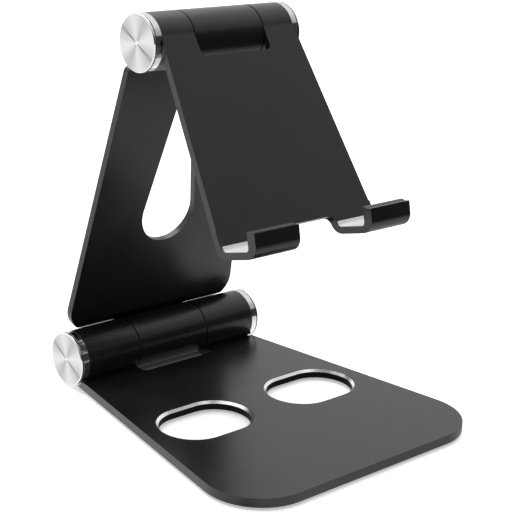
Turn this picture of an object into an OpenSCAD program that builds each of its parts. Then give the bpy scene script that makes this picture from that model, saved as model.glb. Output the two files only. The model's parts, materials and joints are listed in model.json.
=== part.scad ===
// Folding phone stand: a flared base plate, a tapered arm and a phone holder
// joined by two friction hinges. Millimetres, +Z up, +X along the hinges,
// -Y towards the user. Origin: centre of the stand's footprint on the table.

/* [Base plate] */

// Distance from the hinge axis to the front edge
base_len = 118.6; // [114:0.2:124]

// Width of the plate at its front edge
base_front_w = 115.8; // [112:0.2:120]

// Width of the plate measured at the hinge axis
base_rear_w = 79.6; // [79:0.2:82]

// Thickness of the base plate
base_t = 3.2; // [3:0.1:3.4]

// Radius of the two front corners
base_corner_r = 19.8; // [16:0.2:24]

// Distance from the lower hinge axis to the underside of the base plate
base_face = 9.8; // [9.6:0.1:9.9]

// Distance from the hinge axis to the front edge of the knuckle window
base_window = 12.9; // [12.4:0.1:13.4]

/* [Base slots] */

// Length of each slot
slot_len = 34.4; // [30:0.2:36]

// Width of each slot
slot_w = 24.2; // [20:0.2:26]

// Distance between the middles of the two slots
slot_pitch = 49.6; // [46:0.2:52]

// Distance from the hinge axis to the middle of the slots
slot_back = 59.4; // [54:0.2:62]

// Width of the bright chamfer round each slot
slot_chamfer = 1; // [0.6:0.1:1.2]

/* [Feet] */

// Height of the feet below the base plate
foot_h = 1; // [0.8:0.1:1.5]

// Radius of each foot
foot_r = 6; // [5:0.5:8]

// Depth of each foot's pocket in the base plate
foot_pocket = 0.5; // [0.4:0.1:0.8]

// Distance between the two front feet
foot_front_pitch = 72; // [64:1:76]

// Distance between the two rear feet
foot_rear_pitch = 60; // [54:1:62]

// Distance from the hinge axis to the front feet
foot_front_back = 103; // [98:1:105]

// Distance from the hinge axis to the rear feet
foot_rear_back = 23; // [21:1:27]

/* [Hinge barrels] */

// Radius of both hinge barrels
barrel_r = 10; // [9.95:0.05:10.05]

// Width of the seam on each side of a middle knuckle
seam_w = 0.5; // [0.5:0.1:0.7]

// Distance from the middle of the stand to the lower seams
lower_seam = 16; // [15:0.2:16.4]

// Distance from the middle of the stand to the ends of the lower knuckles
lower_end = 39.2; // [38.6:0.1:39.4]

// Distance from the middle of the stand to the upper seams
upper_seam = 15.2; // [15:0.05:15.4]

// Distance from the middle of the stand to the ends of the upper knuckles
upper_end = 29; // [28.7:0.1:29.3]

/* [Arm] */

// Distance between the two hinge axes
arm_len = 122.6; // [120:0.2:126]

// Forward lean of the arm from vertical, in degrees
arm_lean = 12.5; // [10:0.5:16]

// Width of the arm measured at the lower hinge axis
arm_foot_w = 79.6; // [78:0.2:81]

// Width of the arm measured at the upper hinge axis
arm_top_w = 54.8; // [53:0.2:58]

// Thickness of the arm plate
arm_t = 2.7; // [2.6:0.1:2.9]

// Distance from the hinge axes to the back of the arm plate
arm_face = 9.4; // [9.3:0.1:9.6]

// Height of the arm's lower edge above the lower hinge axis
arm_foot = 6; // [5.9:0.1:7]

// Height of the top of the rebate above the lower middle knuckle
rebate_top = 9.3; // [9.3:0.1:10]

// Thickness of the arm's neck left behind the rebate
rebate_skin = 1.6; // [1.4:0.1:1.8]

// Radius of the arm's lower corners
arm_corner_r = 9; // [7:0.5:11]

// Distance from the upper hinge axis down to the arm's shoulders
shoulder_drop = 12; // [11.8:0.1:13]

// Radius of the arm's shoulders
shoulder_r = 2; // [1:0.5:3]

/* [Cable opening in the arm] */

// Height of the large round end above the lower hinge axis
cable_low = 50.7; // [48:0.1:54]

// Radius of the large round end
cable_low_r = 12; // [11:0.1:13]

// Height of the small round end above the lower hinge axis
cable_high = 95; // [90:0.5:100]

// Radius of the small round end
cable_high_r = 3.9; // [3:0.1:4.5]

/* [Phone holder] */

// Angle of the holder from vertical, in degrees
holder_tilt = 33.6; // [28:0.2:38]

// Width of the holder at the upper hinge axis
holder_top_w = 58.2; // [58:0.1:58.6]

// Width of the holder at the floor of its hooks
holder_foot_w = 70.2; // [68:0.1:73]

// Thickness of the holder plate
holder_t = 2.6; // [2.5:0.1:2.8]

// Distance from the upper hinge axis to the front of the holder plate
holder_face = 9.7; // [9.6:0.05:9.85]

// Distance from the hinge axis to the lower edge of the knuckle window
window_drop = 10.6; // [10.4:0.1:12]

// Distance from the hinge axis to the plate's edge between the hooks
gap_drop = 72.9; // [70:0.1:74]

// Width of the cable gap between the hooks
gap_w = 32.3; // [28:0.1:34]

// Radius of the gap's upper corners
gap_r = 2.6; // [2:0.1:3]

/* [Hooks] */

// Distance from the hinge axis to the inner corner of the hooks
floor_drop = 77.2; // [76:0.1:79]

// Depth of the hook floor, from the plate to the lip
floor_len = 13.1; // [11:0.1:14]

// Thickness of the hook floor
floor_t = 2.4; // [2.2:0.1:2.8]

// Droop of the hook floor from square to the plate, in degrees
floor_droop = 17.9; // [14:0.1:20]

// Flare of the lip away from the plate, in degrees
lip_flare = 20.3; // [16:0.1:22]

// Inner height of the lip
lip_h = 6; // [5.5:0.1:8]

// Thickness of the lip
lip_t = 3.6; // [3.2:0.1:3.8]

// Radius of the hooks' inner corners
hook_inner_r = 1.6; // [1.2:0.1:2]

// Radius of the outer corner below the lip
lip_outer_r = 4.6; // [4:0.2:5]

// Radius of the outer corner below the plate
heel_r = 5.5; // [5:0.5:6.5]

/* [Hook pads] */

// Thickness of the silicone pads in the hooks
pad_t = 0.6; // [0.5:0.05:0.8]

// Height of the pads above the hook floor
pad_rise = 1.9; // [1.7:0.1:2.2]

// Bare metal left at each end of a pad
pad_inset = 0.7; // [0.5:0.1:1]

/* [End caps] */

// Thickness of a cap outside the knuckle
cap_t = 3.4; // [3.2:0.1:3.6]

// Chamfer round the face of a cap
cap_chamfer = 0.35; // [0.2:0.05:0.5]

// Distance from a cap's face to its groove
cap_groove_in = 0.7; // [0.6:0.05:0.9]

// Width and depth of the groove in a cap's rim
cap_groove = 0.35; // [0.25:0.05:0.4]

/* [Hinge hardware] */

// Radius of the hinge bolts
bolt_r = 3; // [2.9:0.05:3]

// Radius of a bolt's head
head_r = 5; // [4.8:0.1:5.2]

// Height of a bolt's head
head_h = 5; // [4.5:0.1:5]

// Width across the flats of a hinge nut
nut_af = 10; // [9:0.5:10]

// Thickness of a hinge nut
nut_t = 4; // [3.5:0.1:4]

// Thickness of a plain washer
washer_t = 1.6; // [1.2:0.1:1.6]

// Radius of the plain washers and the disc springs
washer_r = 6; // [5.5:0.1:6.1]

// Thickness of the metal of a disc spring
spring_t = 0.5; // [0.4:0.05:0.5]

// Free height of a disc spring
spring_h = 0.9; // [0.8:0.05:0.9]

// Outer radius of the bushes in the middle knuckles
bush_r = 4.2; // [4:0.1:4.5]

/* [Hidden] */

$fn = 96;
eps = 0.01;
through = 40;            // longer than any hole it cuts
turn_gap = 0.05;         // radial and axial gap between parts that turn
fit_gap = 0.05;          // gap between a loose part and its seat
rear_edge = 4.6;         // hinge axis to the base plate's rear edge, inside the knuckles
cap_relief = 0.3;        // base and holder plates to the caps
cove_relief = 0.3;       // cove in the arm's lower edge to the outer knuckles
window_r = 2.2;          // corners of the two knuckle windows
band_reach = 3;          // how far the pads' cutting band runs past the hook
blank_rise = 1;          // height of the hooks' blank above the lip, where it meets the plate
friction_r = barrel_r - 0.45;
bore_r = bolt_r + turn_gap;
counterbore_r = washer_r + 0.5;
socket_af = 5;           // hexagon socket in a bolt's head
socket_depth = 2.6;
bolt_tip = 0.3;          // bolt standing out of its nut
pad_proud = 0.1;         // pad standing out of its pocket
pad_steps = 8;

hinge_z = foot_h + base_face;
hinge_y = (base_len - barrel_r) / 2;
base_top = base_t - base_face;   // base plate's top, from the hinge axis
arm_slope = (arm_foot_w - arm_top_w) / 2 / arm_len;
shoulder = arm_len - shoulder_drop;
lower_mid = lower_seam - seam_w / 2;
lower_out = lower_seam + seam_w / 2;
upper_mid = upper_seam - seam_w / 2;
upper_out = upper_seam + seam_w / 2;
holder_slope = (holder_foot_w - holder_top_w) / 2 / floor_drop;
hook_end = holder_top_w / 2 + holder_slope * (floor_drop - lip_h / 4);

// Each hinge: inner end of its outer knuckles, floor of their counterbores,
// outer end, length of the cap's plug, number of disc springs
lower_hinge = [lower_out, 25, lower_end, 3, 4];
upper_hinge = [upper_out, 19, upper_end, 1.8, 2];

black = [0.12, 0.12, 0.13];
silver = [0.8, 0.8, 0.82];
steel = [0.6, 0.6, 0.62];
grey = [0.75, 0.75, 0.74];
nylon = [0.2, 0.2, 0.2];
bronze = [0.7, 0.55, 0.3];

function unit(v) = v / norm(v);
function arm_half(s) = arm_foot_w / 2 - arm_slope * s;
function holder_half(s) = holder_top_w / 2 + holder_slope * s;

// A convex outline with rounded corners: radii[i] rounds points[i], 0 leaves it sharp
module soft_polygon(points, radii) {
    n = len(points);
    ends = [for (i = [0:n - 1])
        let (v = points[i],
            a = unit(points[(i + n - 1) % n] - v),
            b = unit(points[(i + 1) % n] - v),
            half = acos(a * b) / 2)
        [v + a * radii[i] / tan(half), v + b * radii[i] / tan(half),
            v + unit(a + b) * radii[i] / sin(half)]];
    polygon([for (i = [0:n - 1]) each radii[i] > 0 ? [ends[i][0], ends[i][1]] : [points[i]]]);
    for (i = [0:n - 1])
        if (radii[i] > 0) translate(ends[i][2]) circle(r = radii[i]);
}

// The same outline as a list of points, each corner's arc in steps
function rounded(points, radii, steps) = let (n = len(points)) [for (i = [0:n - 1])
    let (v = points[i],
        a = unit(points[(i + n - 1) % n] - v),
        b = unit(points[(i + 1) % n] - v),
        half = acos(a * b) / 2,
        centre = v + unit(a + b) * radii[i] / sin(half),
        first = v + a * radii[i] / tan(half) - centre,
        last = v + b * radii[i] / tan(half) - centre,
        turn = 180 - 2 * half)
    each radii[i] > 0
        ? [for (k = [0:steps]) centre + (first * sin(turn * (1 - k / steps))
            + last * sin(turn * k / steps)) / sin(turn)]
        : [v]];

// Lays an outline of (across, up) in a plate whose back is at y = back
module upright(back, t) {
    translate([0, back, 0]) rotate([90, 0, 0]) linear_extrude(height = t) children();
}

// Sweeps a side outline of (y, z) along X from x0 to x1
module sweep(x0, x1) {
    translate([x0, 0, 0]) rotate([90, 0, 90]) linear_extrude(height = x1 - x0) children();
}

// A cylinder along X from x0 to x1
module rod(x0, x1, r) {
    translate([x0, 0, 0]) rotate([0, 90, 0]) cylinder(h = x1 - x0, r = r);
}

module both_sides() {
    children();
    mirror([1, 0, 0]) children();
}

module at_lower() {
    translate([0, hinge_y, hinge_z]) children();
}

module at_arm() {
    at_lower() rotate([arm_lean, 0, 0]) children();
}

module at_arm_top() {
    at_arm() translate([0, 0, arm_len]) children();
}

module at_holder() {
    translate([0, hinge_y - arm_len * sin(arm_lean), hinge_z + arm_len * cos(arm_lean)])
        rotate([-holder_tilt, 0, 0]) children();
}

// ---- base ----

module slot_cutter() {
    end = slot_len / 2 - slot_w / 2;
    r = slot_w / 2;
    top = r + slot_chamfer + eps;
    for (s = [-1, 1]) translate([s * end, 0, 0]) {
        translate([0, 0, -through / 2]) cylinder(h = through, r = r);
        translate([0, 0, base_top - slot_chamfer])
            cylinder(h = slot_chamfer + eps, r1 = r, r2 = top);
    }
    translate([-end, -r, -through / 2]) cube([2 * end, slot_w, through]);
    sweep(-end, end) polygon([[-r, base_top - slot_chamfer], [r, base_top - slot_chamfer],
        [top, base_top + eps], [-top, base_top + eps]]);
}

module base_outline() {
    slope = (base_front_w - base_rear_w) / 2 / base_len;
    rear = base_rear_w / 2 + slope * rear_edge;
    difference() {
        soft_polygon([[-base_front_w / 2, -base_len], [base_front_w / 2, -base_len],
            [rear, -rear_edge], [-rear, -rear_edge]], [base_corner_r, base_corner_r, 0, 0]);
        soft_polygon([[-lower_out, -base_window], [lower_out, -base_window],
            [lower_out, 0], [-lower_out, 0]], [window_r, window_r, 0, 0]);
    }
}

module foot_places() {
    for (s = [-1, 1]) {
        translate([s * foot_front_pitch / 2, -foot_front_back, -base_face]) children();
        translate([s * foot_rear_pitch / 2, -foot_rear_back, -base_face]) children();
    }
}

module base_plate() {
    color(black) at_lower() difference() {
        union() {
            translate([0, 0, -base_face]) linear_extrude(height = base_t) base_outline();
            both_sides() outer_knuckle(lower_hinge);
        }
        for (s = [-1, 1]) translate([s * slot_pitch / 2, -slot_back, 0]) slot_cutter();
        foot_places() translate([0, 0, -eps])
            cylinder(h = foot_pocket + eps, r = foot_r + fit_gap);
        both_sides() {
            outer_bore(lower_hinge);
            rod(lower_end, base_rear_w, barrel_r + cap_relief);
        }
    }
}

module feet() {
    color(nylon) at_lower() foot_places() translate([0, 0, -foot_h])
        cylinder(h = foot_h + foot_pocket, r = foot_r);
}

// ---- hinge hardware, shared by both hinges ----

module bush(half) {
    difference() {
        rod(-half, half, bush_r);
        rod(-through, through, bore_r);
    }
}

module hinge_bolt(h) {
    head_face = -h[1] - washer_t;
    tip = h[1] + washer_t + h[4] * spring_h + nut_t + bolt_tip;
    difference() {
        union() {
            rod(head_face, tip, bolt_r);
            rod(head_face - head_h, head_face, head_r);
        }
        translate([head_face - head_h - eps, 0, 0]) rotate([0, 90, 0])
            cylinder(h = socket_depth + eps, r = socket_af / sqrt(3), $fn = 6);
    }
}

module hinge_nut(h) {
    start = h[1] + washer_t + h[4] * spring_h;
    difference() {
        translate([start, 0, 0]) rotate([0, 90, 0])
            cylinder(h = nut_t, r = nut_af / sqrt(3), $fn = 6);
        rod(-through, through, bolt_r);
    }
}

module hinge_washers(h) {
    both_sides() difference() {
        rod(h[1], h[1] + washer_t, washer_r);
        rod(-through, through, bore_r);
    }
}

module hinge_springs(h) {
    rise = spring_h - spring_t;
    for (i = [0:h[4] - 1]) {
        flip = i % 2;
        translate([h[1] + washer_t + i * spring_h, 0, 0]) rotate([0, 90, 0])
            rotate_extrude() polygon([[bore_r, flip * rise], [washer_r, (1 - flip) * rise],
                [washer_r, (1 - flip) * rise + spring_t], [bore_r, flip * rise + spring_t]]);
    }
}

module friction_washers(h, mid) {
    both_sides() difference() {
        rod(mid + turn_gap, h[0], friction_r);
        rod(-through, through, bore_r);
    }
}

module outer_knuckle(h) {
    rod(h[0], h[2], barrel_r);
}

module outer_bore(h) {
    rod(h[0] - eps, h[2] + eps, bore_r);
    rod(h[1], h[2] + eps, counterbore_r);
}

module end_cap(h) {
    face = h[2] + cap_t;
    groove = face - cap_groove_in;
    rotate([0, 90, 0]) rotate_extrude() polygon([
        [0, h[2] - h[3]], [counterbore_r - fit_gap, h[2] - h[3]],
        [counterbore_r - fit_gap, h[2]], [barrel_r, h[2]],
        [barrel_r, groove - cap_groove], [barrel_r - cap_groove, groove - cap_groove],
        [barrel_r - cap_groove, groove], [barrel_r, groove],
        [barrel_r, face - cap_chamfer], [barrel_r - cap_chamfer, face], [0, face]]);
}

// ---- arm ----

module cable_outline() {
    rise = cable_high - cable_low;
    lean = asin((cable_low_r - cable_high_r) / rise);
    for (s = [-1, 1])
        polygon([[0, cable_low],
            [s * cable_low_r * cos(lean), cable_low + cable_low_r * sin(lean)],
            [s * cable_high_r * cos(lean), cable_high + cable_high_r * sin(lean)],
            [0, cable_high]]);
    translate([0, cable_low]) circle(r = cable_low_r);
    translate([0, cable_high]) circle(r = cable_high_r);
}

module arm_outline() {
    difference() {
        union() {
            soft_polygon([[-arm_half(arm_foot), arm_foot], [arm_half(arm_foot), arm_foot],
                [arm_half(shoulder), shoulder], [-arm_half(shoulder), shoulder]],
                [arm_corner_r, arm_corner_r, shoulder_r, shoulder_r]);
            translate([-lower_mid, 0]) square([2 * lower_mid, 2 * arm_foot]);
            translate([-upper_mid, shoulder - shoulder_r])
                square([2 * upper_mid, shoulder_drop + shoulder_r]);
        }
        cable_outline();
    }
}

module arm_plate() {
    color(black) at_arm() difference() {
        union() {
            upright(arm_face, arm_t) arm_outline();
            translate([0, 0, arm_len]) rod(-upper_mid, upper_mid, barrel_r);
            rod(-lower_mid, lower_mid, barrel_r);
        }
        difference() {
            upright(arm_face - rebate_skin, arm_t) translate([-lower_out, 0])
                square([2 * lower_out, rebate_top]);
            rod(-through, through, barrel_r);
        }
        both_sides() rod(lower_mid, through, barrel_r + cove_relief);
        rod(-through, through, bush_r);
        translate([0, 0, arm_len]) rod(-through, through, bush_r);
    }
}

// ---- holder ----

// Points of a hook's side outline, as [y, z] with the lines moved out by grow
function floor_dir() = [-cos(floor_droop), -sin(floor_droop)];
function floor_up() = [-sin(floor_droop), cos(floor_droop)];
function lip_dir() = [-sin(lip_flare), cos(lip_flare)];
function lip_out() = [-cos(lip_flare), -sin(lip_flare)];
function cross2(a, b) = a[0] * b[1] - a[1] * b[0];
function meet(p, u, q, v) = p + u * cross2(q - p, v) / cross2(u, v);
function corner_in() = [-holder_face, -floor_drop];
function corner_lip() = corner_in() + floor_dir() * floor_len;
function plate_side(grow) = [-holder_face + grow, 0];
function inner_heel(grow) = meet(plate_side(grow), [0, 1],
    corner_in() - floor_up() * grow, floor_dir());
function inner_toe(grow) = meet(corner_lip() + lip_out() * grow, lip_dir(),
    corner_in() - floor_up() * grow, floor_dir());

function channel_points(grow) = [plate_side(grow) - [0, floor_drop / 2], inner_heel(grow),
    inner_toe(grow), inner_toe(grow) + lip_dir() * 3 * lip_h];
function channel_radii(grow) = [0, hook_inner_r + grow, hook_inner_r + grow, 0];

module fine_channel(grow) {
    polygon(rounded(channel_points(grow), channel_radii(grow), pad_steps));
}

module hook_outline() {
    lip_top = corner_lip() + lip_dir() * lip_h;
    under = corner_in() - floor_up() * floor_t;
    heel = meet([holder_t - holder_face, 0], [0, 1], under, floor_dir());
    toe = meet(lip_top + lip_out() * lip_t, lip_dir(), under, floor_dir());
    difference() {
        soft_polygon([[holder_t - holder_face, lip_top[1] + blank_rise], heel, toe,
            lip_top + lip_out() * lip_t, lip_top],
            [0, heel_r, lip_outer_r, 0, 0]);
        soft_polygon(channel_points(0), channel_radii(0));
    }
}

module pad_band(top) {
    a = corner_in() - floor_dir() * band_reach;
    b = corner_lip() + floor_dir() * band_reach;
    below = floor_up() * band_reach;
    polygon([a - below, b - below, b + floor_up() * top, a + floor_up() * top]);
}

module pad_pocket_outline() {
    intersection() {
        fine_channel(pad_t - pad_proud);
        pad_band(pad_rise);
    }
}

module hook_pad_outline() {
    difference() {
        pad_pocket_outline();
        fine_channel(-pad_proud);
    }
}

module holder_outline() {
    foot = floor_drop - hook_inner_r;
    difference() {
        polygon([[-holder_half(0), 0], [-holder_half(foot), -foot],
            [holder_half(foot), -foot], [holder_half(0), 0]]);
        soft_polygon([[-upper_out, barrel_r], [upper_out, barrel_r],
            [upper_out, -window_drop], [-upper_out, -window_drop]], [0, 0, window_r, window_r]);
    }
}

module gap_outline() {
    soft_polygon([[-gap_w / 2, -2 * gap_drop], [gap_w / 2, -2 * gap_drop],
        [gap_w / 2, -gap_drop], [-gap_w / 2, -gap_drop]], [0, 0, gap_r, gap_r]);
}

module holder_plate() {
    color(black) at_holder() difference() {
        union() {
            upright(holder_t - holder_face, holder_t) holder_outline();
            both_sides() outer_knuckle(upper_hinge);
            sweep(-hook_end, hook_end) hook_outline();
        }
        upright(through, 2 * through) gap_outline();
        both_sides() {
            outer_bore(upper_hinge);
            rod(upper_end, through, barrel_r + cap_relief);
            sweep(gap_w / 2 + pad_inset, hook_end - pad_inset) pad_pocket_outline();
        }
    }
}

module hook_pad_right() {
    color(grey) at_holder()
        sweep(gap_w / 2 + pad_inset, hook_end - pad_inset) hook_pad_outline();
}

module hook_pad_left() {
    mirror([1, 0, 0]) hook_pad_right();
}

// ---- the rest of the nodes ----

module lower_bush() { color(bronze) at_arm() bush(lower_mid); }
module upper_bush() { color(bronze) at_arm_top() bush(upper_mid); }

module lower_bolt() { color(steel) at_lower() hinge_bolt(lower_hinge); }
module lower_nut() { color(steel) at_lower() hinge_nut(lower_hinge); }
module lower_washers() { color(steel) at_lower() hinge_washers(lower_hinge); }
module lower_springs() { color(steel) at_lower() hinge_springs(lower_hinge); }
module lower_friction_washers() {
    color(nylon) at_lower() friction_washers(lower_hinge, lower_mid);
}
module lower_cap_right() { color(silver) at_lower() end_cap(lower_hinge); }
module lower_cap_left() { mirror([1, 0, 0]) lower_cap_right(); }

module upper_bolt() { color(steel) at_holder() hinge_bolt(upper_hinge); }
module upper_nut() { color(steel) at_holder() hinge_nut(upper_hinge); }
module upper_washers() { color(steel) at_holder() hinge_washers(upper_hinge); }
module upper_springs() { color(steel) at_holder() hinge_springs(upper_hinge); }
module upper_friction_washers() {
    color(nylon) at_holder() friction_washers(upper_hinge, upper_mid);
}
module upper_cap_right() { color(silver) at_holder() end_cap(upper_hinge); }
module upper_cap_left() { mirror([1, 0, 0]) upper_cap_right(); }

base_plate();
feet();
lower_bolt();
lower_nut();
lower_washers();
lower_springs();
lower_friction_washers();
lower_cap_left();
lower_cap_right();
arm_plate();
lower_bush();
upper_bush();
holder_plate();
hook_pad_left();
hook_pad_right();
upper_bolt();
upper_nut();
upper_washers();
upper_springs();
upper_friction_washers();
upper_cap_left();
upper_cap_right();
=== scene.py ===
"""The looks of a folding phone stand: black anodised plates, spun end caps, silicone
hook pads and steel hinge hardware, on a pale floor in a white studio.

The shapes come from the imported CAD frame. This script gives every piece rounded edges
and a node material, then adds the floor, the studio and the camera. Lengths are metres
unless a name ends in _mm or _MM.
"""

import json
import math

import bpy
from mathutils import Matrix, Vector


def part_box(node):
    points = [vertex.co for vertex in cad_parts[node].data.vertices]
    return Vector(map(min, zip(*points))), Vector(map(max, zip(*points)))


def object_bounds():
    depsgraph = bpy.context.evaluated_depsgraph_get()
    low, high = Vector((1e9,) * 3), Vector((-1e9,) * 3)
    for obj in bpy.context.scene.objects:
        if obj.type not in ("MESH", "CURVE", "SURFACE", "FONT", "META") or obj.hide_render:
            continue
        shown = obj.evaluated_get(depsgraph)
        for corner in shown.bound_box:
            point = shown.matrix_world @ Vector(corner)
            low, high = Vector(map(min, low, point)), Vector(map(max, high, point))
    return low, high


MM = 0.001

# The camera: where it stands round the lower hinge, and its lens
CAMERA_AZIMUTH = -41.63
CAMERA_ELEVATION = 18.13
CAMERA_ROLL = 2.43
CAMERA_DISTANCE = 0.55237
CAMERA_AIM_RIGHT = 0.0457
CAMERA_AIM_UP = 0.0235
LENS_MM = 96.3
SENSOR_MM = 36.0
LENS_SHIFT_X = 0.0109
LENS_SHIFT_Y = 0.0013

# Rounding of the pieces' edges, and the flat faces joined before it
PLATE_EDGE_MM = 0.32
FOOT_EDGE_MM = 0.2
BOLT_EDGE_MM = 0.2
WASHER_EDGE_MM = 0.1
BUSH_EDGE_MM = 0.1
CAP_EDGE_MM = 0.06
PAD_EDGE_MM = 0.06
SPRING_EDGE_MM = 0.05
RING_EDGE_MM = 0.04
EDGE_STEPS = 3
SMALL_EDGE_STEPS = 2
EDGE_FROM_DEG = 28
FLAT_WITHIN_DEG = 0.6
WELD_WITHIN = 1e-6

# How a face's place and direction tell it apart: the base's thickness and the cap's groove
PLATE_REACH_MM = 4
CAP_FACE_WITHIN_MM = 0.02
CAP_GROOVE_MM = 0.2
FACES_ALONG = 0.98
FACES_ACROSS = 0.3
CHAMFER_NORMALS = (0.5, 0.9)

# The spun caps' faces, with reflections painted in their colour: palest every quarter turn
# from SPUN_PAINTED_LOBE_DEG, with painted light and dark rays given as (towards, width, gain) that
# keep
# SPUN_OUTER of their gain at the rim
SPUN_PAINTED_LOBE_DEG = 75.0
SPUN_LEVEL = 0.55
SPUN_PAINTED_SWING = 0.11
SPUN_PAINTED_RAYS = ((29, 8, -0.34), (44, 8, 0.1), (16, 8, 0.1), (118, 9, -0.06))
SPUN_OUTER = 0.35
SPUN_RINGS = 0.03
SPUN_RING_PITCH = 2.2

FLOOR_RADIUS = 6.0
FLOOR_PAINT = (0.8, 0.84)
FLOOR_OWN_LIGHT = 0.42
FLOOR_SPECKS = 700.0

# The floor's glow on the stand, out from its middle: towards the front right it fades out
FADE_TOWARDS = (0.66, -0.75, 0.0)
FADE_SPREAD = (-0.1, 0.9)
FADE_FROM = 0.2
FADE_TO = 0.34
GLOW = 1.25
GLOW_NEAR = 0.85
GLOW_FAR = 0.03
GLOW_UNDER = 0.1

# The base plate's outline on the floor, where the glow sinks to GLOW_UNDER as a painted
# shadow of the base: half its width is BASE_MIDDLE - BASE_TAPER * y
BASE_MIDDLE = 0.0496
BASE_TAPER = 0.153
UNDER_SPREAD = (-0.012, 0.002)

# The floor's painted shade right under the lower hinge: across it, and towards its ends
SHADE_FROM = 0.002
SHADE_TO = 0.017
SHADE_DEEPEST = 0.03
SHADE_END_FROM = 0.022
SHADE_END_TO = 0.03

# The studio's light by direction: two ramps (from, to, least, most) over how high it points,
# and the light added ahead and to the left, with the bounds between which it comes in
LOW_LIGHT = (0.4, 0.46, 0.04, 0.5)
TOP_LIGHT = (0.6, 0.95, 0.0, 0.7)
AHEAD_SPREAD = (-0.05, 0.5)
AHEAD_LEVEL = 0.95
LEFT_SPREAD = (0.3, 0.85)
LEFT_LEVEL = 0.7

# The soft panel above
PANEL_TOWARDS = (0.1, 0.35, 1.0)
PANEL_DISTANCE = 1.1
PANEL_SIZE = 0.9
PANEL_WATTS = 9.0

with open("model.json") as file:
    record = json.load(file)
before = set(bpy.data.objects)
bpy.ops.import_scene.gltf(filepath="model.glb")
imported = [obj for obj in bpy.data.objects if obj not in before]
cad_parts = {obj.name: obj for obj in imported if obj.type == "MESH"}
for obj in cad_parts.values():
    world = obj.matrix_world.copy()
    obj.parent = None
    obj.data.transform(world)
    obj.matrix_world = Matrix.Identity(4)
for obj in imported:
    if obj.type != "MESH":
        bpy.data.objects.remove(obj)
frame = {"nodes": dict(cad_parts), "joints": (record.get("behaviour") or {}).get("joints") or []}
CAD_LOW, CAD_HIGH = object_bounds()
NODES = frame["nodes"]
JOINTS = {joint["name"]: joint for joint in frame["joints"]}


# ---- node graph helper ----


class Graph:
    """A short way to write a node tree: add() makes a node and links or sets its inputs."""

    def __init__(self, tree):
        self.tree = tree
        self.tree.nodes.clear()

    def add(self, kind, inputs=None, **settings):
        node = self.tree.nodes.new(kind)
        for name, value in settings.items():
            setattr(node, name, value)
        for name, value in (inputs or {}).items():
            self.put(node.inputs[name], value)
        return node

    def put(self, socket, value):
        if isinstance(value, bpy.types.NodeSocket):
            self.tree.links.new(value, socket)
        else:
            socket.default_value = value

    def math(self, operation, a, b=0.0, clamp=False):
        node = self.add("ShaderNodeMath", {0: a, 1: b}, operation=operation)
        node.use_clamp = clamp
        return node.outputs[0]

    def ramp(self, value, low, high, to_low=0.0, to_high=1.0):
        node = self.add(
            "ShaderNodeMapRange",
            {"Value": value, "From Min": low, "From Max": high, "To Min": to_low, "To Max": to_high},
            interpolation_type="SMOOTHSTEP",
        )
        return node.outputs["Result"]

    def noise(self, vector, scale, detail=3.0, rough=0.5):
        node = self.add(
            "ShaderNodeTexNoise",
            {"Vector": vector, "Scale": scale, "Detail": detail, "Roughness": rough},
        )
        return node.outputs["Fac"]

    def mix_colour(self, share, a, b):
        node = self.add("ShaderNodeMix", data_type="RGBA")
        self.put(node.inputs["Factor"], share)
        self.put(node.inputs["A"], a)
        self.put(node.inputs["B"], b)
        return node.outputs["Result"]

    def bump(self, height, strength, distance_mm):
        inputs = {"Height": height, "Strength": strength, "Distance": distance_mm * MM}
        return self.add("ShaderNodeBump", inputs).outputs["Normal"]

    def millimetres(self):
        """Object coordinates in millimetres."""
        place = self.add("ShaderNodeTexCoord").outputs["Object"]
        node = self.add("ShaderNodeVectorMath", {0: place}, operation="SCALE")
        node.inputs["Scale"].default_value = 1 / MM
        return node.outputs["Vector"]

    def finish(self, shader):
        output = self.add("ShaderNodeOutputMaterial")
        self.tree.links.new(shader.outputs[0], output.inputs["Surface"])


def grey(level, tint=0.0):
    return (level * (1 - tint), level, level * (1 + tint), 1.0)


def new_graph(name):
    material = bpy.data.materials.new(name)
    material.use_nodes = True
    return material, Graph(material.node_tree)


# ---- materials ----


def anodised(name, level, roughness):
    """Bead-blasted black anodising: a dark dye under a clear, satin oxide layer."""
    material, g = new_graph(name)
    at = g.millimetres()
    cloud = g.noise(at, 0.06, 3)
    grit = g.noise(at, 5.5, 4, 0.6)
    rub = g.ramp(g.noise(at, 0.22, 5, 0.6), 0.5, 0.72)
    colour = g.mix_colour(cloud, grey(level * 0.85), grey(level * 1.15))
    colour = g.mix_colour(g.ramp(grit, 0.3, 0.75, 0, 0.5), colour, grey(level * 1.5))
    rough = g.ramp(cloud, 0.3, 0.7, roughness - 0.02, roughness + 0.03)
    rough = g.math("SUBTRACT", rough, g.math("MULTIPLY", rub, 0.025))
    shader = g.add(
        "ShaderNodeBsdfPrincipled",
        {
            "Base Color": colour,
            "Roughness": rough,
            "IOR": 1.5,
            "Normal": g.bump(grit, 0.08, 0.012),
        },
    )
    g.finish(shader)
    return material


def diamond_cut(name):
    """A bright chamfer turned through the anodising, with fine tool marks."""
    material, g = new_graph(name)
    at = g.millimetres()
    marks = g.noise(at, 4, 2)
    shader = g.add(
        "ShaderNodeBsdfPrincipled",
        {
            "Base Color": grey(0.9, 0.008),
            "Metallic": 1.0,
            "Roughness": g.ramp(marks, 0.3, 0.7, 0.26, 0.32),
            "Normal": g.bump(marks, 0.03, 0.01),
        },
    )
    g.finish(shader)
    return material


def around_axis(g, centre):
    """Distance from a cap's axis in mm, the angle round it, and the two offsets behind them."""
    place = g.add("ShaderNodeTexCoord").outputs["Object"]
    away = g.add("ShaderNodeVectorMath", {0: place, 1: centre}, operation="SUBTRACT")
    parts = g.add("ShaderNodeSeparateXYZ", {0: away.outputs["Vector"]})
    y, z = parts.outputs["Y"], parts.outputs["Z"]
    reach = g.math("SQRT", g.math("ADD", g.math("MULTIPLY", y, y), g.math("MULTIPLY", z, z)))
    return g.math("DIVIDE", reach, MM), g.math("ARCTAN2", z, y), y, z


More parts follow.
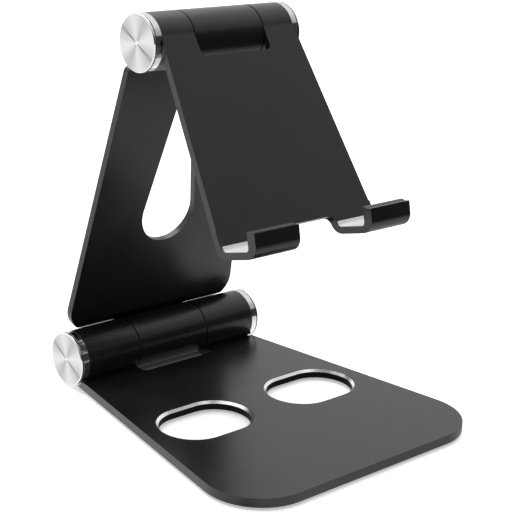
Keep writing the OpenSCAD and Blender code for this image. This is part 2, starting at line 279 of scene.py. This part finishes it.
def ray(g, angle, towards_deg, width_deg):
    """A soft two-sided mask for a ray of painted reflection across a spun face: 1 along it, 0 away
    from it.
    """
    turned = g.math("SUBTRACT", angle, math.radians(towards_deg))
    off = g.math("ABSOLUTE", g.math("SINE", turned))
    return g.ramp(off, 0.0, math.sin(math.radians(width_deg)), 1.0, 0.0)


def spun_rings_and_painted_glints(name, centre):
    """Bright aluminium faced on a lathe: fine rings, and painted reflections in its colour: light
    and dark rays, lobes and a bright centre.
    """
    material, g = new_graph(name)
    reach, angle, y, z = around_axis(g, centre)
    wobble = g.add(
        "ShaderNodeTexNoise",
        {"W": g.math("MULTIPLY", reach, SPUN_RING_PITCH), "Scale": 1.0, "Detail": 3.0},
        noise_dimensions="1D",
    )
    rings = wobble.outputs["Fac"]
    # painted reflection: the colour is lighter every quarter turn
    turned = g.math("SUBTRACT", angle, math.radians(SPUN_PAINTED_LOBE_DEG))
    painted_lobes = g.math("COSINE", g.math("MULTIPLY", turned, 4.0))
    level = g.math("ADD", SPUN_LEVEL, g.math("MULTIPLY", painted_lobes, SPUN_PAINTED_SWING))
    level = g.math("ADD", level, g.ramp(rings, 0.3, 0.7, -SPUN_RINGS, SPUN_RINGS))
    # painted reflections: light and dark rays across the face
    for towards, width, gain in SPUN_PAINTED_RAYS:
        strength = g.ramp(reach, 2.0, 8.0, gain, gain * SPUN_OUTER)
        level = g.math("ADD", level, g.math("MULTIPLY", ray(g, angle, towards, width), strength))
    # painted highlight: the colour is lighter at the middle of the face
    level = g.math("ADD", level, g.ramp(reach, 0.2, 0.9, 0.3, 0.0), clamp=True)
    colour = g.mix_colour(level, grey(0.02), grey(1.0, 0.01))
    tangent = g.add("ShaderNodeCombineXYZ")
    g.put(tangent.inputs["Y"], g.math("MULTIPLY", z, -1.0))
    g.put(tangent.inputs["Z"], y)
    shader = g.add(
        "ShaderNodeBsdfPrincipled",
        {
            "Base Color": colour,
            "Metallic": 1.0,
            "Roughness": 0.3,
            "Anisotropic": 0.6,
            "Tangent": tangent.outputs["Vector"],
            "Normal": g.bump(rings, 0.1, 0.01),
        },
    )
    g.finish(shader)
    return material


def polished(name, level, roughness):
    """A polished aluminium band with very fine turning lines."""
    material, g = new_graph(name)
    at = g.millimetres()
    smear = g.noise(at, 0.5, 3)
    stretch = g.add("ShaderNodeVectorMath", {0: at, 1: (14.0, 0.6, 0.6)}, operation="MULTIPLY")
    lines = g.noise(stretch.outputs["Vector"], 1.0, 3)
    shader = g.add(
        "ShaderNodeBsdfPrincipled",
        {
            "Base Color": grey(level, 0.006),
            "Metallic": 1.0,
            "Roughness": g.ramp(smear, 0.3, 0.7, roughness, roughness + 0.05),
            "Normal": g.bump(lines, 0.1, 0.006),
        },
    )
    g.finish(shader)
    return material


def silicone(name, level):
    """Matt moulded silicone with a faint skin texture and a little light inside it."""
    material, g = new_graph(name)
    at = g.millimetres()
    skin = g.noise(at, 3.0, 4, 0.6)
    shader = g.add(
        "ShaderNodeBsdfPrincipled",
        {
            "Base Color": g.mix_colour(g.noise(at, 0.3), grey(level * 0.94), grey(level)),
            "Roughness": g.ramp(skin, 0.3, 0.7, 0.55, 0.7),
            "Subsurface Weight": 0.15,
            "Subsurface Scale": 0.0006,
            "Sheen Weight": 0.15,
            "Normal": g.bump(skin, 0.2, 0.02),
        },
    )
    g.finish(shader)
    return material


def rubber(name, level):
    """Moulded black rubber, slightly dusty."""
    material, g = new_graph(name)
    at = g.millimetres()
    dust = g.ramp(g.noise(at, 0.8, 5, 0.65), 0.5, 0.8)
    skin = g.noise(at, 6.0, 3)
    shader = g.add(
        "ShaderNodeBsdfPrincipled",
        {
            "Base Color": g.mix_colour(dust, grey(level), grey(level * 3)),
            "Roughness": g.ramp(skin, 0.3, 0.7, 0.7, 0.85),
            "Normal": g.bump(skin, 0.3, 0.03),
        },
    )
    g.finish(shader)
    return material


def turned_metal(name, colour, roughness):
    """Turned hinge hardware: a metal with rings of tool marks about the hinge's direction."""
    material, g = new_graph(name)
    at = g.millimetres()
    stretch = g.add("ShaderNodeVectorMath", {0: at, 1: (6.0, 0.4, 0.4)}, operation="MULTIPLY")
    lines = g.noise(stretch.outputs["Vector"], 1.0, 3)
    stain = g.noise(at, 0.4, 4)
    dull = tuple(0.75 * c for c in colour[:3]) + (1.0,)
    shader = g.add(
        "ShaderNodeBsdfPrincipled",
        {
            "Base Color": g.mix_colour(stain, dull, colour),
            "Metallic": 1.0,
            "Roughness": g.ramp(stain, 0.3, 0.7, roughness, roughness + 0.12),
            "Normal": g.bump(lines, 0.2, 0.01),
        },
    )
    g.finish(shader)
    return material


def nylon_and_groove_shade(name, level):
    """Black filled polyamide for the friction washers, matt and slightly mottled; the caps' grooves
    take it as painted shade.
    """
    material, g = new_graph(name)
    at = g.millimetres()
    fleck = g.noise(at, 4.0, 4)
    shader = g.add(
        "ShaderNodeBsdfPrincipled",
        {
            "Base Color": g.mix_colour(fleck, grey(level * 0.7), grey(level * 1.4)),
            "Roughness": 0.62,
            "Normal": g.bump(fleck, 0.2, 0.01),
        },
    )
    g.finish(shader)
    return material


# ---- dressing the CAD pieces ----


def round_edges(name, width_mm, segments=SMALL_EDGE_STEPS, material=-1):
    """Joins a piece's flat faces, then rounds every sharp edge; material is the rounding's."""
    piece = NODES[name]
    for polygon in piece.data.polygons:
        polygon.use_smooth = True
    weld = piece.modifiers.new("weld", "WELD")
    weld.merge_threshold = WELD_WITHIN
    flat = piece.modifiers.new("flat", "DECIMATE")
    flat.decimate_type = "DISSOLVE"
    flat.angle_limit = math.radians(FLAT_WITHIN_DEG)
    flat.delimit = {"MATERIAL"}
    bevel = piece.modifiers.new("edges", "BEVEL")
    bevel.width = width_mm * MM
    bevel.segments = segments
    bevel.limit_method = "ANGLE"
    bevel.angle_limit = math.radians(EDGE_FROM_DEG)
    bevel.material = material
    bevel.miter_outer = "MITER_ARC"
    shade = piece.modifiers.new("shade", "WEIGHTED_NORMAL")
    shade.mode = "FACE_AREA"
    shade.weight = 80
    shade.keep_sharp = False


def dress(name, materials, choose=None):
    """Gives a piece its materials; choose(polygon) says which one a face takes."""
    piece = NODES[name]
    piece.data.materials.clear()
    for material in materials:
        piece.data.materials.append(material)
    for polygon in piece.data.polygons:
        polygon.material_index = choose(polygon) if choose else 0


def base_zone(polygon, underside):
    """Which part of the base a face belongs to: 1 slots' chamfers, 0 everything else."""
    in_plate = polygon.center.z - underside < PLATE_REACH_MM * MM
    least, most = CHAMFER_NORMALS
    return 1 if in_plate and least < polygon.normal.z < most else 0


def dress_plates():
    black = anodised("anodised_black", level=0.0056, roughness=0.28)
    # The rounded edges take a lighter copy of the anodising: a painted highlight along every plate
    # edge.
    edge = anodised("anodised_painted_edge_highlight", level=0.009, roughness=0.24)
    bright = diamond_cut("slot_chamfer")
    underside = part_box("base_plate")[0].z
    dress("base_plate", [black, bright, edge], lambda p: base_zone(p, underside))
    round_edges("base_plate", PLATE_EDGE_MM, EDGE_STEPS, material=2)
    for name in ("arm_plate", "holder_plate"):
        dress(name, [black, edge])
        round_edges(name, PLATE_EDGE_MM, EDGE_STEPS, material=1)


def cap_zone(polygon, outwards, mouth, radius, centre):
    """Which part of a cap a face belongs to: 0 spun face, 1 polished rim, 2 groove painted black as
    shade.
    """
    middle, normal = polygon.center, polygon.normal
    at_mouth = abs(middle.x - mouth) < CAP_FACE_WITHIN_MM * MM
    if at_mouth and normal.x * outwards > FACES_ALONG:
        return 0
    off = math.hypot(middle.y - centre.y, middle.z - centre.z)
    flank = abs(normal.x) > FACES_ALONG
    floor = off < radius - CAP_GROOVE_MM * MM and abs(normal.x) < FACES_ACROSS
    return 2 if flank or floor else 1


def dress_caps():
    rim = polished("cap_rim", level=0.72, roughness=0.09)
    # The groove's faces are painted black: painted shade in the crease between the spun face and the
    # rim.
    groove = nylon_and_groove_shade("cap_groove", level=0.008)
    for name in ("lower_cap_left", "lower_cap_right", "upper_cap_left", "upper_cap_right"):
        low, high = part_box(name)
        centre = (low + high) / 2
        outwards = 1 if centre.x > 0 else -1
        mouth = high.x if outwards > 0 else low.x
        radius = (high.z - low.z) / 2
        face = spun_rings_and_painted_glints(name + "_face", centre)
        dress(
            name,
            [face, rim, groove],
            lambda p: cap_zone(p, outwards, mouth, radius, centre),
        )
        round_edges(name, CAP_EDGE_MM)


def dress_hinge_parts():
    steel = turned_metal("bolt_steel", (0.56, 0.57, 0.6, 1.0), roughness=0.3)
    washer = turned_metal("washer_steel", (0.62, 0.62, 0.63, 1.0), roughness=0.26)
    spring = turned_metal("spring_steel", (0.2, 0.19, 0.18, 1.0), roughness=0.42)
    bronze = turned_metal("bush_bronze", (0.6, 0.42, 0.2, 1.0), roughness=0.38)
    ring = nylon_and_groove_shade("friction_nylon", level=0.02)
    for hinge in ("lower", "upper"):
        for part, material, edge_mm in (
            ("bolt", steel, BOLT_EDGE_MM),
            ("nut", steel, BOLT_EDGE_MM),
            ("washers", washer, WASHER_EDGE_MM),
            ("springs", spring, SPRING_EDGE_MM),
            ("friction_washers", ring, RING_EDGE_MM),
            ("bush", bronze, BUSH_EDGE_MM),
        ):
            name = hinge + "_" + part
            dress(name, [material])
            round_edges(name, edge_mm)


def dress_soft_parts():
    pad = silicone("pad_silicone", level=0.62)
    for name in ("hook_pad_left", "hook_pad_right"):
        dress(name, [pad])
        round_edges(name, PAD_EDGE_MM)
    dress("feet", [rubber("foot_rubber", level=0.02)])
    round_edges("feet", FOOT_EDGE_MM, EDGE_STEPS)


# ---- floor, studio and camera ----


def view_back():
    """Unit vector from the object to the camera."""
    a, e = math.radians(CAMERA_AZIMUTH), math.radians(CAMERA_ELEVATION)
    return Vector((math.sin(a) * math.cos(e), -math.cos(a) * math.cos(e), math.sin(e)))


def floor_glow(g, place):
    """How strongly each place on the floor lights the stand, dimmed under the base plate as a
    painted shadow.
    """
    reach = g.add("ShaderNodeVectorMath", {0: place}, operation="LENGTH").outputs["Value"]
    unit = g.add("ShaderNodeVectorMath", {0: place}, operation="NORMALIZE").outputs["Vector"]
    along = g.add("ShaderNodeVectorMath", {0: unit, 1: FADE_TOWARDS}, operation="DOT_PRODUCT")
    fade = g.ramp(reach, FADE_FROM, FADE_TO, GLOW_NEAR, GLOW_FAR)
    share = g.ramp(along.outputs["Value"], *FADE_SPREAD)
    strength = g.math("ADD", GLOW, g.math("MULTIPLY", share, g.math("SUBTRACT", fade, GLOW)))
    parts = g.add("ShaderNodeSeparateXYZ", {0: place})
    x, y = parts.outputs["X"], parts.outputs["Y"]
    half = g.math("SUBTRACT", BASE_MIDDLE, g.math("MULTIPLY", y, BASE_TAPER))
    beside = g.math("SUBTRACT", g.math("ABSOLUTE", x), half)
    beyond = g.math("SUBTRACT", g.math("ABSOLUTE", y), (CAD_HIGH.y - CAD_LOW.y) / 2)
    # painted shadow: the glow sinks to GLOW_UNDER inside the base plate's outline
    clear = g.ramp(g.math("MAXIMUM", beside, beyond), *UNDER_SPREAD, GLOW_UNDER, 1.0)
    return g.math("MULTIPLY", strength, clear)


def hinge_shade(g, place, hinge_y):
    """The floor's painted shade: SHADE_DEEPEST right under the lower hinge, 1 away from it."""
    parts = g.add("ShaderNodeSeparateXYZ", {0: place})
    across = g.math("ABSOLUTE", g.math("SUBTRACT", parts.outputs["Y"], hinge_y))
    shade = g.ramp(across, SHADE_FROM, SHADE_TO, SHADE_DEEPEST, 1.0)
    ends = g.ramp(g.math("ABSOLUTE", parts.outputs["X"]), SHADE_END_FROM, SHADE_END_TO)
    return g.math("MAXIMUM", shade, ends)


def make_floor():
    """A pale floor: the camera sees its paint, with a painted shade under the lower hinge, and the
    stand is lit by its glow.
    """
    bpy.ops.mesh.primitive_circle_add(vertices=96, radius=FLOOR_RADIUS, fill_type="NGON")
    floor = bpy.context.object
    floor.name = "floor"
    floor.location = ((CAD_LOW.x + CAD_HIGH.x) / 2, (CAD_LOW.y + CAD_HIGH.y) / 2, CAD_LOW.z)
    material, g = new_graph("floor_white")
    place = g.add("ShaderNodeTexCoord").outputs["Object"]
    shade = hinge_shade(g, place, JOINTS["arm_hinge"]["pos_m"][1] - floor.location.y)
    speck = g.noise(place, FLOOR_SPECKS, 2)
    white = g.mix_colour(speck, grey(FLOOR_PAINT[0]), grey(FLOOR_PAINT[1]))
    seen = g.add("ShaderNodeLightPath").outputs["Is Camera Ray"]
    # The painted shade darkens both the floor's paint and its own light under the lower hinge.
    paint = g.add(
        "ShaderNodeBsdfPrincipled",
        {
            "Base Color": g.mix_colour(shade, grey(0.0), white),
            "Roughness": 0.7,
            "Emission Color": grey(1.0),
            "Emission Strength": g.math("MULTIPLY", shade, FLOOR_OWN_LIGHT),
        },
    )
    glow = g.add("ShaderNodeEmission", {"Color": grey(1.0), "Strength": floor_glow(g, place)})
    both = g.add("ShaderNodeMixShader", {0: seen, 1: glow.outputs[0], 2: paint.outputs[0]})
    g.finish(both)
    floor.data.materials.append(material)


def make_studio():
    """White ahead and to the left, a dark band behind the camera, and light from above."""
    world = bpy.data.worlds.new("studio")
    bpy.context.scene.world = world
    world.use_nodes = True
    g = Graph(world.node_tree)
    way = g.add("ShaderNodeTexCoord").outputs["Generated"]
    parts = g.add("ShaderNodeSeparateXYZ", {0: way})
    back = view_back()
    level = Vector((-back.x, -back.y, 0)).normalized()
    side = Vector((-level.y, level.x, 0))
    ahead = g.add("ShaderNodeVectorMath", {0: way, 1: level}, operation="DOT_PRODUCT")
    left = g.add("ShaderNodeVectorMath", {0: way, 1: side}, operation="DOT_PRODUCT")
    rise = parts.outputs["Z"]
    front = g.math("ADD", g.ramp(rise, *LOW_LIGHT), g.ramp(rise, *TOP_LIGHT))
    behind = g.ramp(ahead.outputs["Value"], *AHEAD_SPREAD)
    beside = g.ramp(left.outputs["Value"], *LEFT_SPREAD)
    lift = g.math("SUBTRACT", AHEAD_LEVEL, front)
    light = g.math("ADD", front, g.math("MULTIPLY", behind, lift))
    light = g.math("ADD", light, g.math("MULTIPLY", beside, LEFT_LEVEL))
    seen = g.add("ShaderNodeLightPath").outputs["Is Camera Ray"]
    strength = g.add("ShaderNodeMix", data_type="FLOAT")
    g.put(strength.inputs["Factor"], seen)
    g.put(strength.inputs["A"], light)
    g.put(strength.inputs["B"], 1.0)
    sky = g.add("ShaderNodeBackground", {"Color": grey(1.0), "Strength": strength.outputs["Result"]})
    output = g.add("ShaderNodeOutputWorld")
    g.put(output.inputs["Surface"], sky.outputs[0])


def make_panel():
    """A soft square light above, which shines at the middle of the stand."""
    light = bpy.data.lights.new("top_panel", "AREA")
    light.shape = "SQUARE"
    light.size = PANEL_SIZE
    light.energy = PANEL_WATTS
    panel = bpy.data.objects.new("top_panel", light)
    bpy.context.scene.collection.objects.link(panel)
    way = Vector(PANEL_TOWARDS).normalized()
    panel.location = (CAD_LOW + CAD_HIGH) / 2 + way * PANEL_DISTANCE
    panel.rotation_euler = way.to_track_quat("Z", "Y").to_euler()


def make_camera():
    a = math.radians(CAMERA_AZIMUTH)
    roll = math.radians(CAMERA_ROLL)
    back = view_back()
    right = Vector((math.cos(a), math.sin(a), 0))
    up = back.cross(right)
    rolled_right = right * math.cos(roll) + up * math.sin(roll)
    rolled_up = up * math.cos(roll) - right * math.sin(roll)
    hinge = Vector(JOINTS["arm_hinge"]["pos_m"])
    place = hinge + Vector((CAMERA_AIM_RIGHT, 0, CAMERA_AIM_UP)) + back * CAMERA_DISTANCE
    data = bpy.data.cameras.new("camera")
    data.lens = LENS_MM
    data.sensor_width = SENSOR_MM
    data.shift_x = LENS_SHIFT_X
    data.shift_y = LENS_SHIFT_Y
    data.clip_start = 0.01
    data.clip_end = 50
    camera = bpy.data.objects.new("camera", data)
    bpy.context.scene.collection.objects.link(camera)
    turn = Matrix((rolled_right, rolled_up, back)).transposed().to_4x4()
    camera.matrix_world = Matrix.Translation(place) @ turn
    bpy.context.scene.camera = camera


def set_tones():
    settings = bpy.context.scene.view_settings
    settings.view_transform = "Standard"
    settings.look = "None"


dress_plates()
dress_caps()
dress_hinge_parts()
dress_soft_parts()
make_floor()
make_studio()
make_panel()
make_camera()
set_tones()
